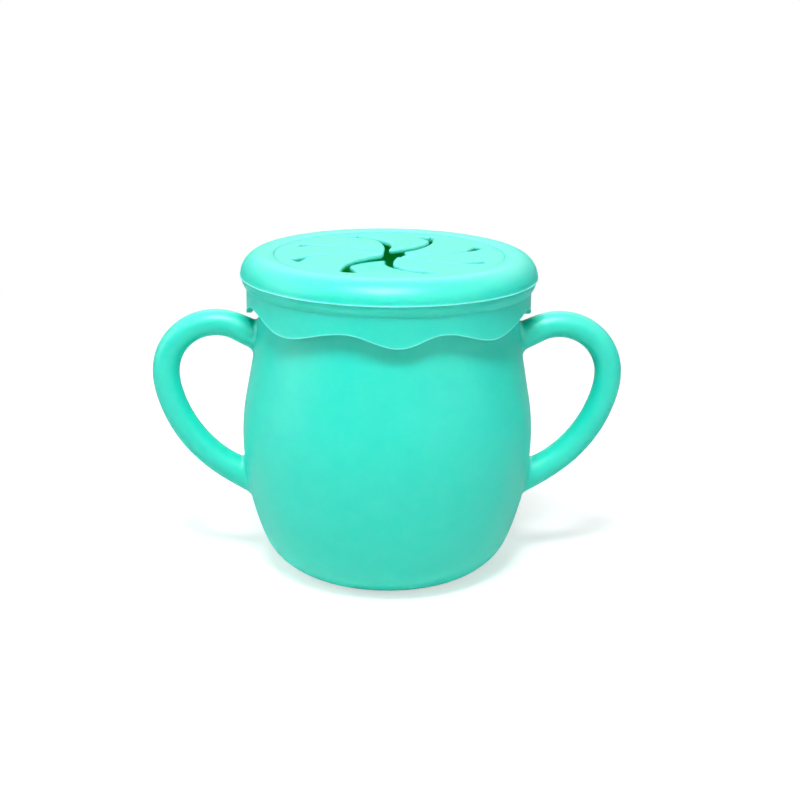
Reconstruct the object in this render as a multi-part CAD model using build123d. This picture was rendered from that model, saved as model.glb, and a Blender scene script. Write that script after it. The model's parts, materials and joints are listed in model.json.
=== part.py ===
from build123d import *
import os
from math import acos, asin, atan2, cos, degrees, radians, sin, sqrt, tan

# A two-handled silicone cup for a small child, with a soft push-on lid.
# The lid's disc is slit into curved petals that bend for a hand or a spoon.
# Millimetres. The origin is the centre of the base, on the table.
# +Z is up, the handles lie along X, and -Y is the front.

# Bowl of the cup, as radii about the Z axis and heights above the table
belly_radius = 43.4      # widest radius of the bowl
belly_height = 41.7      # height of the widest place
lower_bow = 83.0         # radius of the profile's arc below the widest place
upper_bow = 64.0         # radius of the profile's arc above it
base_round = 17.0        # arc between the side and the flat base
cup_height = 93.2        # top of the rim, with the lid off
shoulder_rise = 33.3     # from the widest place up to the corner of shoulder and neck
neck_blend = 34.0        # hollow arc that rounds that corner
wall = 2.6
floor_thickness = 3.4
recess_radius = 17.0     # shallow recess under the base
recess_depth = 0.8
recess_round = 0.6

# Rolled edge that the lid grips
bead_stand = 1.5         # how far it stands out from the neck
bead_height = 4.6
rim_round = 1.1

# Handles, each a round bar in the XZ plane
handle_stand = 22.7      # from the bowl's widest radius out to the bar's centre line
handle_drop = 33.3       # from the rim down to where the bar is furthest out
handle_radius = 4.0
top_bend_radius = 15.1
side_bend_radius = 22.0
low_bend_radius = 39.2
top_slope = 25.3         # fall of the upper arm towards the cup
side_slope = 76.5        # lean of the bar between its side bend and its low bend
low_slope = 29.0         # lean of the lower arm where it meets the cup
arm_sink = 5.0           # how far the arms run on inside the neck's radius
top_flare_radius = 4.8   # upper arm's radius, inside the bowl's outline
low_flare_radius = 5.3
top_flare_length = 11.5
low_flare_length = 12.5

# Lid, a hollow ring that closes over the rolled edge
lid_gap = 0.4            # room between lid and cup, all round
rim_cover = 3.2          # how far the rim stands above the lid's parting edge
skirt_wall = 1.55
band_height = 3.5        # rounded band between the parting edge and the skirt
band_bulge = 0.55        # how far the band's profile bows out
dome_stand = 0.15        # how far the dome stands out past the bowl
dome_overhang = 1.7      # how far the dome stands out from the skirt
parting_step = 0.5       # how far the dome stands out from the parting edge
dome_wall = 2.95         # thickness at the crest
dome_round = 6.5
disc_drop = 0.6          # the disc lies this far below the crest
lip_wall = 1.8
lip_depth = 10.0         # how far the sealing lip hangs down inside the rim
lip_lead = 0.7           # bevel that guides the lip into the mouth

# Wavy hem of the skirt. Angles are seen from above, from -Y towards +X
hem_height = 8.9         # skirt below the parting edge, at a notch
drip_length = 3.4        # how much further down a lobe hangs
side_notch_rise = 1.2    # how much higher the notches beside the handles are
lobe_angles = (2.5, 43.5, 94.0, 138.0, 182.0, 226.0, 267.0, 314.5)
notch_angles = (20.0, 160.0, 204.0, 342.0)
side_notch_angles = (71.5, 116.0, 247.0, 289.0)

# Petals in the disc
petal_count = 8
petal_thickness = 1.6
slit_radius = 27.0       # each slit is an arc through the lid's centre
slit_start_angle = 30.0  # heading of the first slit at the centre
slit_width = 0.6
slit_margin_width = 4.6  # from the slits' outer ends to the edge of the disc
tip_hole_radius = 2.5    # the rounded tips leave this hole at the centre
slit_end_radius = 0.5
notch_angle = 8.5        # how far round each slit's relief opening runs
notch_end_radius = 0.9
notch_length = 5.4       # how far in from its slit's end the opening starts
hinge_gap = 0.4          # room round each petal's rounded root
groove_angle = 22.5      # sets the flats of the eight-sided root groove level
front_dip_angle = 3.3    # rest tilt of the front petal, tip down
rear_lift_angle = 2.4    # rest tilt of the rear petal, tip up

# Heights and radii that follow
parting_z = cup_height - rim_cover
ceiling_z = cup_height + lid_gap
crest_z = ceiling_z + dome_wall
disc_z = crest_z - disc_drop
dome_radius = belly_radius + dome_stand
skirt_outer = dome_radius - dome_overhang
skirt_inner = skirt_outer - skirt_wall
bead_radius = skirt_inner - lid_gap
neck_radius = bead_radius - bead_stand
lip_outer = neck_radius - wall - lid_gap
disc_radius = lip_outer - lip_wall
slit_reach = disc_radius - slit_margin_width
hinge_z = disc_z - petal_thickness / 2
handle_reach = belly_radius + handle_stand
handle_z = cup_height - handle_drop
arm_end = neck_radius - arm_sink
petal_step = 360 / petal_count


def polar(radius, angle):
    """Point at a radius and an angle from +X, in the XY plane."""
    return Vector(radius * cos(radians(angle)), radius * sin(radians(angle)))


def bow(centre, radius, start, end):
    """Arc about a centre, between two angles in degrees."""
    middle = (start + end) / 2
    ends = [Vector(*centre) + polar(radius, a) for a in (start, middle, end)]
    return ThreePointArc(*ends)


def turned(outline):
    """Solid of revolution of a closed outline drawn as radius and height."""
    return revolve(Plane.XZ * make_face(outline), Axis.Z)


def bowl(inset, bottom, top):
    """Filled bowl shape, drawn in from the outside by the inset."""
    low_r = lower_bow - inset
    up_r = upper_bow - inset
    round_r = base_round - inset
    neck_r = neck_radius - inset
    blend_r = neck_blend + inset
    low_c = (belly_radius - lower_bow, belly_height)
    up_c = (belly_radius - upper_bow, belly_height)
    rise = belly_height - bottom - round_r
    round_c = (low_c[0] + sqrt((low_r - round_r) ** 2 - rise**2), bottom + round_r)
    touch = -degrees(atan2(rise, round_c[0] - low_c[0]))
    corner = Vector(neck_radius, belly_height + shoulder_rise) - Vector(*up_c)
    taper = degrees(atan2(corner.Y, corner.X) - acos(upper_bow / corner.length))
    lean = radians(taper)
    shoulder = Vector(*up_c) + polar(up_r, taper)
    corner_z = shoulder.Y + (shoulder.X - neck_r) / tan(lean)
    tangent = blend_r * tan(lean / 2)
    blend_c = (neck_r + blend_r, corner_z + tangent)
    lower = bow(low_c, low_r, touch, 0)
    base = bow(round_c, round_r, -90, touch)
    upper = bow(up_c, up_r, 0, taper)
    blend = bow(blend_c, blend_r, 180 + taper, 180)
    shoulder_line = Line(upper @ 1, blend @ 0)
    rest = Polyline(blend @ 1, (neck_r, top), (0, top), (0, bottom), base @ 0)
    return turned([base, lower, upper, shoulder_line, blend, rest])


def cup_body():
    """Bowl with its rolled edge, hollow, on a foot with a shallow recess."""
    foot_z = cup_height - bead_height
    bead = turned(
        Polyline(
            (neck_radius - wall / 2, foot_z - bead_stand / 2),
            (neck_radius, foot_z - bead_stand / 2),
            (bead_radius, foot_z + bead_stand / 2),
            (bead_radius, cup_height),
            (neck_radius - wall / 2, cup_height),
            close=True,
        )
    )
    solid = bowl(0, 0, cup_height) + bead - bowl(wall, floor_thickness, 2 * cup_height)
    rim = solid.edges().filter_by(GeomType.CIRCLE).group_by(Axis.Z)[-1]
    solid = fillet(rim, rim_round)
    recess = Pos(0, 0, recess_depth / 2) * Cylinder(recess_radius, recess_depth)
    roof = recess.edges().filter_by(GeomType.CIRCLE).group_by(Axis.Z)[-1]
    return solid - fillet(roof, recess_round)


def handle():
    """Round bar of the +X handle, flared at both arms and cut to the bowl."""
    top_c = (handle_reach - top_bend_radius, handle_z)
    side_c = (handle_reach - side_bend_radius, handle_z)
    top = bow(top_c, top_bend_radius, 90 + top_slope, 0)
    side = bow(side_c, side_bend_radius, 0, side_slope - 90)
    knee = side @ 1 - polar(low_bend_radius, side_slope - 90)
    low = bow((knee.X, knee.Y), low_bend_radius, side_slope - 90, low_slope - 90)
    top_run = ((top @ 0).X - arm_end) / cos(radians(top_slope))
    low_run = ((low @ 1).X - arm_end) / cos(radians(low_slope))
    top_end = top @ 0 + polar(top_run, 180 + top_slope)
    low_end = low @ 1 + polar(low_run, 180 + low_slope)
    path = Plane.XZ * Wire([Line(top_end, top @ 0), top, side, low, Line(low @ 1, low_end)])
    bar = sweep(Plane(path @ 0, z_dir=path % 0) * Circle(handle_radius), path)
    top_arm = Plane(path @ 0, z_dir=path % 0)
    low_arm = Plane(path @ 1, z_dir=-(path % 1))
    upward = (Align.CENTER, Align.CENTER, Align.MIN)
    bar += top_arm * Cone(top_flare_radius, handle_radius, top_flare_length, align=upward)
    bar += low_arm * Cone(low_flare_radius, handle_radius, low_flare_length, align=upward)
    return bar - bowl(0, 0, cup_height)


def lid_dome():
    """Domed ring of the lid, over the channel for the cup's rim."""
    round_c = (dome_radius - dome_round, crest_z - dome_round)
    start = -degrees(asin((round_c[1] - parting_z) / dome_round))
    side = bow(round_c, dome_round, start, 90)
    run = round_c[0] - disc_radius
    slope_radius = (run**2 + disc_drop**2) / (2 * disc_drop)
    slope_c = (round_c[0], crest_z - slope_radius)
    inner = bow(slope_c, slope_radius, 90, 90 + degrees(asin(run / slope_radius)))
    parting_r = dome_radius - parting_step
    step = Line((parting_r, parting_z), side @ 0)
    rest = Polyline(
        inner @ 1,
        (disc_radius, ceiling_z),
        (skirt_inner, ceiling_z),
        (skirt_inner, parting_z),
        (parting_r, parting_z),
    )
    return turned([step, side, inner, rest])


def hem_points(radius):
    """Points of the wavy hem at one radius, at its turning points and between."""
    lobe_z = parting_z - hem_height - drip_length
    notch_z = parting_z - hem_height
    turns = [(a, lobe_z) for a in lobe_angles] + [(a, notch_z) for a in notch_angles]
    turns += [(a, notch_z + side_notch_rise) for a in side_notch_angles]
    turns.sort()
    points = []
    for (a, z), (b, next_z) in zip(turns, turns[1:] + [(turns[0][0] + 360, turns[0][1])]):
        points.append(polar(radius, a - 90) + Vector(0, 0, z))
        points.append(polar(radius, (a + b) / 2 - 90) + Vector(0, 0, (z + next_z) / 2))
    return points


def lid_skirt():
    """Thin skirt outside the rolled edge, cut below along a wavy hem."""
    low_z = parting_z - hem_height - drip_length
    edge = Vector(dome_radius - parting_step, parting_z)
    crease = Vector(skirt_outer, parting_z - band_height)
    along = (crease - edge).normalized()
    belly = (edge + crease) / 2 + Vector(-along.Y, along.X) * band_bulge
    band = ThreePointArc(edge, belly, crease)
    rest = Polyline(
        crease, (skirt_outer, low_z), (skirt_inner, low_z), (skirt_inner, parting_z), edge
    )
    ring = turned([band, rest])
    inside = Spline(*hem_points(skirt_inner - skirt_wall), periodic=True)
    outside = Spline(*hem_points(skirt_outer + skirt_wall), periodic=True)
    wave = Face.make_surface_from_curves(inside, outside)
    below = extrude(wave, amount=2 * drip_length, dir=(0, 0, -1))
    return ring - below


def lid_seal_lip():
    """Ring that hangs inside the cup's mouth, bevelled below."""
    low_z = ceiling_z - lip_depth
    return turned(
        Polyline(
            (disc_radius, ceiling_z),
            (lip_outer, ceiling_z),
            (lip_outer, low_z + lip_lead),
            (lip_outer - lip_lead, low_z),
            (disc_radius, low_z),
            close=True,
        )
    )


def slit_end(k):
    """Angle from +X of the outer end of one slit."""
    return slit_start_angle + k * petal_step + degrees(asin(slit_reach / 2 / slit_radius))


def slit_arc(k, reach):
    """Centre line of one slit, from the lid's centre out to a reach."""
    heading = slit_start_angle + k * petal_step
    sweep_angle = 2 * degrees(asin(reach / 2 / slit_radius))
    centre = polar(slit_radius, heading + 90)
    return bow((centre.X, centre.Y), slit_radius, heading - 90, heading - 90 + sweep_angle)


def slit(k):
    """One slit with its rounded relief opening, as a flat shape."""
    band = SlotArc(slit_arc(k, slit_reach), slit_width)
    places = [
        (slit_arc(k, slit_reach - notch_length) @ 1, slit_width / 2),
        (polar(slit_reach, slit_end(k)), slit_end_radius),
        (polar(slit_reach, slit_end(k) + notch_angle), notch_end_radius),
    ]
    rings = [Pos(p.X, p.Y) * Circle(r) for p, r in places]
    relief = make_hull([edge for ring in rings for edge in ring.edges()])
    return band + relief


def hinge_ends(k):
    """Ends of one petal's straight root line."""
    return polar(slit_reach, slit_end(k) + notch_angle), polar(slit_reach, slit_end(k + 1))


def root_line(k, start_trim, end_trim):
    """Plane across the start of one petal's root line, and the line's length."""
    start, end = hinge_ends(k)
    along = (end - start).normalized()
    foot = start + along * start_trim + Vector(0, 0, hinge_z)
    length = (end - start).length - start_trim - end_trim
    return Plane(foot, x_dir=(0, 0, 1), z_dir=along), length


def rest_tilt(k):
    """How far one petal's tip hangs down at rest, in degrees."""
    if k == front_petal:
        return front_dip_angle
    if k == rear_petal:
        return -rear_lift_angle
    return 0


def petal(k):
    """One petal, a curved blade with a rounded root for its hinge line."""
    start, end = hinge_ends(k)
    sides = [slit_arc(k, slit_reach), slit_arc(k + 1, slit_reach)]
    root = Polyline(sides[0] @ 1, start, end)
    outline = make_face([sides[0], root, sides[1]])
    blade = outline - slit(k) - slit(k + 1) - Circle(tip_hole_radius)
    blade = blade.faces().sort_by(SortBy.AREA)[-1]
    solid = extrude(Pos(0, 0, disc_z - petal_thickness) * blade, amount=petal_thickness)
    plane, length = root_line(k, notch_end_radius, slit_end_radius)
    solid += extrude(plane * Circle(petal_thickness / 2), amount=length)
    return solid.rotate(Axis(plane.origin, plane.z_dir), -rest_tilt(k))


def lid_membrane():
    """Edge of the disc that carries the petals, pocketed for their roots."""
    corners = []
    for k in range(petal_count):
        corners.append(polar(slit_reach, slit_end(k)))
        corners.append(polar(slit_reach, slit_end(k) + notch_angle))
    flat = Circle(disc_radius) - make_face(Polyline(*corners, close=True))
    for k in range(petal_count):
        flat -= slit(k)
    solid = extrude(Pos(0, 0, disc_z - petal_thickness) * flat, amount=petal_thickness)
    reach = petal_thickness / 2 + hinge_gap
    for k in range(petal_count):
        plane, length = root_line(k, 0, 0)
        groove = plane * RegularPolygon(reach, 8, major_radius=False, rotation=groove_angle)
        solid -= extrude(groove, amount=length)
    return solid


def middle_angle(k):
    """Angle from +X of the middle of one petal's root."""
    return (slit_end(k) + notch_angle + slit_end(k + 1)) / 2


def off_angle(k, angle):
    """How far one petal's root lies from an angle, either way round."""
    return abs((middle_angle(k) - angle + 180) % 360 - 180)


# The petals are numbered from the front one, towards +X
front_petal = min(range(petal_count), key=lambda k: off_angle(k, -90))
rear_petal = min(range(petal_count), key=lambda k: off_angle(k, 90))

right_handle = handle()
nodes = {
    "cup_body": cup_body(),
    "right_handle": right_handle,
    "left_handle": mirror(right_handle, about=Plane.YZ),
    "lid_dome": lid_dome(),
    "lid_skirt": lid_skirt(),
    "lid_seal_lip": lid_seal_lip(),
    "lid_membrane": lid_membrane(),
}
for number in range(petal_count):
    nodes[f"petal_{number + 1}"] = petal((front_petal + number) % petal_count)

os.makedirs("parts", exist_ok=True)
for name, shape in nodes.items():
    export_step(shape, f"parts/{name}.step")
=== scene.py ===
import json
from math import acos, asin, atan2, ceil, cos, degrees, dist, hypot, pi, radians, sin, sqrt, tan

import bmesh
import bpy
import numpy as np
from mathutils import Matrix, Vector
from mathutils.geometry import convex_hull_2d


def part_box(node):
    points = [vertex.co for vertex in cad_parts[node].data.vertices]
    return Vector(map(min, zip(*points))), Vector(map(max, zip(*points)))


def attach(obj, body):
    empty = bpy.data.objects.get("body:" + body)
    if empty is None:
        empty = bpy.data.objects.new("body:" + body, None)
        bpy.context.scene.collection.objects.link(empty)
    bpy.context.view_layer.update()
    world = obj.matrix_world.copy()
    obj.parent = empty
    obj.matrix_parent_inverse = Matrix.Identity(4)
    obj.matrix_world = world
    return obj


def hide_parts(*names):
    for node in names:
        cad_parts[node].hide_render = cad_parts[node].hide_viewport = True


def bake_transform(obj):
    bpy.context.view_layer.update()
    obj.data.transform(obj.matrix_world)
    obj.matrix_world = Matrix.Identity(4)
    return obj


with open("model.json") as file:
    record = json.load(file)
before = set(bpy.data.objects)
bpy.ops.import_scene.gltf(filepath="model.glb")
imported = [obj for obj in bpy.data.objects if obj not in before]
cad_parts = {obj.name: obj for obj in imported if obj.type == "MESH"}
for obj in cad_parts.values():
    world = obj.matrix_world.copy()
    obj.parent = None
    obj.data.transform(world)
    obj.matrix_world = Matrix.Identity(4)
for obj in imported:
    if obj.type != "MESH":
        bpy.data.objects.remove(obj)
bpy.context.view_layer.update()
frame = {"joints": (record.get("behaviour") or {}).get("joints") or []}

bl_info = {
    "name": "Training Cup",
    "version": (1, 0, 0),
    "blender": (4, 5, 0),
    "location": "View3D > Sidebar > Training Cup",
    "description": "Two-handled silicone cup with a petal lid, dressed over its CAD frame",
    "category": "Object",
}

MM = 0.001
BAR_RADIUS = 0.004
PETALS = ["petal_%d" % (number + 1) for number in range(8)]

# Highest corners of the CAD nodes' boxes, and the lowest ones of two of them, in metres
cup_high, dome_high, skirt_high, handle_high = (
    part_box(node_name)[1] for node_name in ("cup_body", "lid_dome", "lid_skirt", "right_handle")
)
lip_low, lip_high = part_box("lid_seal_lip")
disc_low, disc_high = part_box("lid_membrane")


def labelled(group):
    """The same property group, whose sizes get their sidebar names from their own names."""
    for key, field in group.__annotations__.items():
        field.keywords["name"] = key.replace("_", " ").title()
    return group


def share(default, description, highest=1.0, **kind):
    """A number from nought up to a highest one."""
    return bpy.props.FloatProperty(
        description=description, default=default, min=0.0, max=highest, precision=5, **kind
    )


def length(default, description):
    """A size in metres."""
    return share(default, description, unit="LENGTH", subtype="DISTANCE")


def turn(angle, description):
    """An angle, given in degrees."""
    return share(radians(angle), description, pi, unit="ROTATION", subtype="ANGLE")


def colour(default, description):
    """A linear colour."""
    return bpy.props.FloatVectorProperty(
        description=description, default=default, size=3, min=0.0, max=1.0, subtype="COLOR"
    )


@labelled
class BowlSizes(bpy.types.PropertyGroup):
    """Sizes of the cup's bowl and its two handles"""

    belly_radius: length(cup_high.x, "Widest radius of the bowl")
    belly_height: length(0.0417, "Height of the widest place")
    lower_bow: length(0.083, "Profile's radius below the belly")
    upper_bow: length(0.064, "Profile's radius above the belly")
    base_round: length(0.017, "Arc between side and base")
    rim_height: length(cup_high.z, "Top of the rim")
    neck_radius: length(0.0384, "Radius of the straight neck")
    shoulder_rise: length(0.0333, "From the belly up to the neck's corner")
    neck_blend: length(0.034, "Hollow arc at that corner")
    wall: length(0.0026, "Thickness of the bowl")
    floor: length(0.0034, "Thickness of the bottom")
    recess_radius: length(0.017, "Shallow recess under the base")
    recess_depth: length(0.0008, "Depth of that recess")
    bead_stand: length(0.0015, "How far the rolled edge stands out")
    bead_height: length(0.0046, "Height of the rolled edge")
    rim_round: length(0.0011, "Rounding of the rolled edge")
    bar_radius: length(BAR_RADIUS, "Radius of the handles' bars")
    bar_swell: length(0.0002, "Their growth towards the low bend")
    bar_reach: length(handle_high.x - BAR_RADIUS, "From the axis to the bar's centre line")
    bar_height: length(0.0599, "Height of its furthest place")
    top_bend: length(0.0151, "Radius of the upper bend")
    side_bend: length(0.022, "Radius of the bend beside it")
    low_bend: length(0.0392, "Radius of the long bend below")
    top_slope: turn(25.3, "Fall of the upper arm towards the cup")
    side_slope: turn(76.5, "Lean between side bend and low bend")
    low_slope: turn(29.0, "Lean of the lower arm at the cup")
    root_flare: length(0.0003, "How much thicker the bar is at the bowl")
    root_fillet: length(0.002, "Soft fillet between bar and bowl")


@labelled
class LidSizes(bpy.types.PropertyGroup):
    """Sizes of the lid's ring, skirt and sealing lip"""

    dome_radius: length(dome_high.x, "Widest radius of the lid")
    parting_height: length(skirt_high.z, "Height of the mould's parting edge")
    crest_height: length(dome_high.z, "Top of the domed ring")
    ceiling_height: length(dome_high.z - 0.00295, "Roof of the rim's channel")
    dome_round: length(0.0065, "Rounding of the domed ring")
    disc_radius: length(disc_high.x, "Radius of the slit disc")
    disc_height: length(disc_high.z, "Top of the slit disc")
    groove_depth: length(0.00012, "Soft groove between ring and disc")
    flash_stand: length(0.00016, "How far the parting edge stands out")
    flash_round: length(0.00014, "Rounding of that edge")
    parting_step: length(0.0005, "From the dome in to the band below")
    band_height: length(0.0035, "Rounded band above the skirt")
    band_bulge: length(0.00055, "How far the band bows out")
    skirt_radius: length(0.04185, "Outer radius of the skirt")
    skirt_wall: length(0.00155, "Thickness of the skirt")
    hem_bead: length(0.00012, "How far the hem swells out")
    hem_round: length(0.0003, "Rounding of the hem's corners")
    hem_height: length(0.0089, "Skirt below the parting edge, at a notch")
    drip_length: length(0.0034, "How much lower a lobe hangs")
    side_notch_rise: length(0.0012, "How much higher the side notches are")
    lip_radius: length(lip_high.x, "Outer radius of the sealing lip")
    lip_bottom: length(lip_low.z, "Bottom of the sealing lip")


@labelled
class PetalSizes(bpy.types.PropertyGroup):
    """Sizes of the slit disc's petals"""

    thickness: length(disc_high.z - disc_low.z, "Thickness of the disc")
    slit_radius: length(0.027, "Radius of each slit's arc")
    slit_heading: turn(30.0, "Heading of the first slit at the centre")
    slit_gap: length(0.0006, "Width of a closed slit")
    slit_reach: length(0.029, "From the centre to a slit's outer end")
    tip_cut: length(0.0019, "From the centre to most petals' tips")
    relief_turn: turn(7.0, "How far round each relief opening runs")
    relief_start: length(0.0236, "From the centre to where it starts")
    edge_round: length(0.00065, "Rounding of the petals' edges")
    front_dip: turn(3.8, "Rest tilt of the front petal, tip down")
    rear_lift: turn(2.4, "Rest tilt of the rear petal, tip up")
    bend_before: length(0.0015, "From a petal's root out to where it bends")
    bend_after: length(0.0035, "From its root in to where the bend ends")


@labelled
class SiliconeLook(bpy.types.PropertyGroup):
    """Colour and finish of the moulded silicone, with its painted edge highlight and painted glow"""

    colour: colour((0.004, 0.72, 0.57), "Turquoise of the silicone")
    # Painted highlight: a paler tone mixed onto the parting edge, the hem and the petals' cut edges,
    # where they catch light
    thin_colour: colour((0.22, 0.90, 0.82), "Paler tone of thin edges")
    depth_colour: colour((0.02, 1.0, 0.35), "How far each colour of light spreads inside")
    depth: length(0.004, "How far light spreads inside")
    # Painted glow: emission on the bowl's inside that stands in for daylight through its wall
    glow_colour: colour((0.0, 0.075, 0.002), "Daylight through the bowl's wall")
    shine: share(0.8, "Strength of the reflections")
    spread: share(0.4, "Share of the light that spreads inside")
    roughness: share(0.42, "Roughness of the surface")
    mottle: share(0.02, "Strength of the colour variation")
    grain_size: length(0.00045, "Size of the fine grain")


@labelled
class StudioLook(bpy.types.PropertyGroup):
    """Lamps, floor and surroundings"""

    front_power: share(6.4, "Lamp above the front", 200.0)
    left_power: share(4.0, "Lamp at the left", 200.0)
    right_power: share(4.4, "Large lamp at the front right", 200.0)
    low_power: share(0.8, "Lamp behind the camera", 200.0)
    back_power: share(0.9, "Lamp above the back", 200.0)
    ambient: share(0.02, "Strength of the surroundings", 2.0)
    ceiling_glow: share(3.4, "Ceiling that the silicone mirrors", 20.0)
    side_glow: share(0.5, "Walls that it mirrors", 2.0)
    floor_colour: colour((0.84, 0.84, 0.84), "Floor, before its lift towards white")
    floor_fade: length(0.42, "Where the floor has turned white")


def arc(centre, radius, start, end, step):
    """Points of an arc from one angle to another in degrees, both ends included."""
    sweep = abs(end - start)
    count = max(2, ceil(sweep / 10), ceil(radians(sweep) * radius / step))
    angles = np.radians(np.linspace(start, end, count + 1))
    return [(centre[0] + radius * cos(a), centre[1] + radius * sin(a)) for a in angles]


def line(start, end, step):
    """Points of a straight run, both ends included."""
    count = max(1, ceil(dist(start, end) / step))
    shares = np.linspace(0, 1, count + 1)
    return [(start[0] + (end[0] - start[0]) * f, start[1] + (end[1] - start[1]) * f) for f in shares]


def chain(*runs):
    """One list of points from several runs, without doubled joints."""
    points = []
    for run in runs:
        for point in run:
            if not points or dist(points[-1], point) > 1e-7:
                points.append(point)
    return points


def bowl_side(bowl, inset, bottom, top, step):
    """Profile of the bowl from its flat bottom up the side to a height, as radius and height."""
    low_r = bowl.lower_bow - inset
    up_r = bowl.upper_bow - inset
    round_r = bowl.base_round - inset
    neck_r = bowl.neck_radius - inset
    low_c = (bowl.belly_radius - bowl.lower_bow, bowl.belly_height)
    up_c = (bowl.belly_radius - bowl.upper_bow, bowl.belly_height)
    rise = bowl.belly_height - bottom - round_r
    round_c = (low_c[0] + sqrt((low_r - round_r) ** 2 - rise**2), bottom + round_r)
    touch = -degrees(atan2(rise, round_c[0] - low_c[0]))
    corner = (bowl.neck_radius - up_c[0], bowl.shoulder_rise)
    lean = atan2(corner[1], corner[0]) - acos(bowl.upper_bow / hypot(*corner))
    taper = degrees(lean)
    shoulder = (up_c[0] + up_r * cos(lean), up_c[1] + up_r * sin(lean))
    corner_z = shoulder[1] + (shoulder[0] - neck_r) / tan(lean)
    blend_r = bowl.neck_blend + inset
    blend_c = (neck_r + blend_r, corner_z + blend_r * tan(lean / 2))
    blend = arc(blend_c, blend_r, 180 + taper, 180, step)
    return chain(
        arc(round_c, round_r, -90, touch, step),
        arc(low_c, low_r, touch, 0, step),
        arc(up_c, up_r, 0, taper, step),
        line(shoulder, blend[0], step),
        blend,
        line(blend[-1], (neck_r, top), step),
    )


def bar_line(bowl):
    """Centre line of the +X handle as distances, x, z and headings."""
    slopes = (degrees(v) for v in (bowl.top_slope, bowl.side_slope, bowl.low_slope))
    top_slope, side_slope, low_slope = slopes
    fine = 0.0001
    sunk_x = bowl.neck_radius - 0.008  # the arms end inside the bowl's wall
    top_c = (bowl.bar_reach - bowl.top_bend, bowl.bar_height)
    side_c = (bowl.bar_reach - bowl.side_bend, bowl.bar_height)
    knee_turn = radians(side_slope - 90)
    stretch = bowl.side_bend - bowl.low_bend
    low_c = (side_c[0] + stretch * cos(knee_turn), side_c[1] + stretch * sin(knee_turn))
    top = arc(top_c, bowl.top_bend, 90 + top_slope, 0, fine)
    side = arc(side_c, bowl.side_bend, 0, side_slope - 90, fine)
    low = arc(low_c, bowl.low_bend, side_slope - 90, low_slope - 90, fine)
    upper, lower = (
        line(start, (sunk_x, start[1] - (start[0] - sunk_x) * tan(slope)), fine)
        for start, slope in ((top[0], bowl.top_slope), (low[-1], bowl.low_slope))
    )
    points = np.array(chain(upper[::-1], top, side, low, lower))
    steps = np.diff(points, axis=0)
    headings = np.unwrap(np.arctan2(steps[:, 1], steps[:, 0]))
    run = np.concatenate([[0], np.cumsum(np.hypot(steps[:, 0], steps[:, 1]))])
    middle = (run[:-1] + run[1:]) / 2
    return run, points[:, 0], points[:, 1], np.interp(run, middle, headings)


def add_object(name, data):
    """A new object in the scene, at the origin."""
    made = bpy.data.objects.new(name, data)
    bpy.context.scene.collection.objects.link(made)
    return made


def smooth(mesh):
    """Smooth shading on every face."""
    mesh.polygons.foreach_set("use_smooth", [True] * len(mesh.polygons))


def make_piece(name, bm, material):
    """A new smooth piece from finished mesh data, with its faces turned outwards."""
    bmesh.ops.recalc_face_normals(bm, faces=bm.faces)
    mesh = bpy.data.meshes.new(name)
    bm.to_mesh(mesh)
    bm.free()
    smooth(mesh)
    mesh.materials.append(material)
    piece = add_object(name, mesh)
    return piece


def ring_of(bm, points):
    """New vertices at some points."""
    return [bm.verts.new(point) for point in points]


def swing(r, z, angle):
    """Point at a radius and a height, at an angle round the cup's axis."""
    return Vector((r * cos(angle), r * sin(angle), z))


def stitch(bm, lower, upper, closed=True):
    """Quads between two rows of as many vertices, or a fan from a single one."""
    count = max(len(lower), len(upper))
    for i in range(count if closed else count - 1):
        corners = []
        for row, place in ((lower, i), (lower, i + 1), (upper, i + 1), (upper, i)):
            corner = row[place % count % len(row)]
            if corner not in corners:
                corners.append(corner)
        if len(corners) > 2:
            bm.faces.new(corners)


def add_rings(bm, ring, rows):
    """Rings at each row of points in turn, stitched from a first ring on. Gives the last ring."""
    for points in rows:
        following = ring_of(bm, points)
        stitch(bm, ring, following)
        ring = following
    return ring


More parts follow.
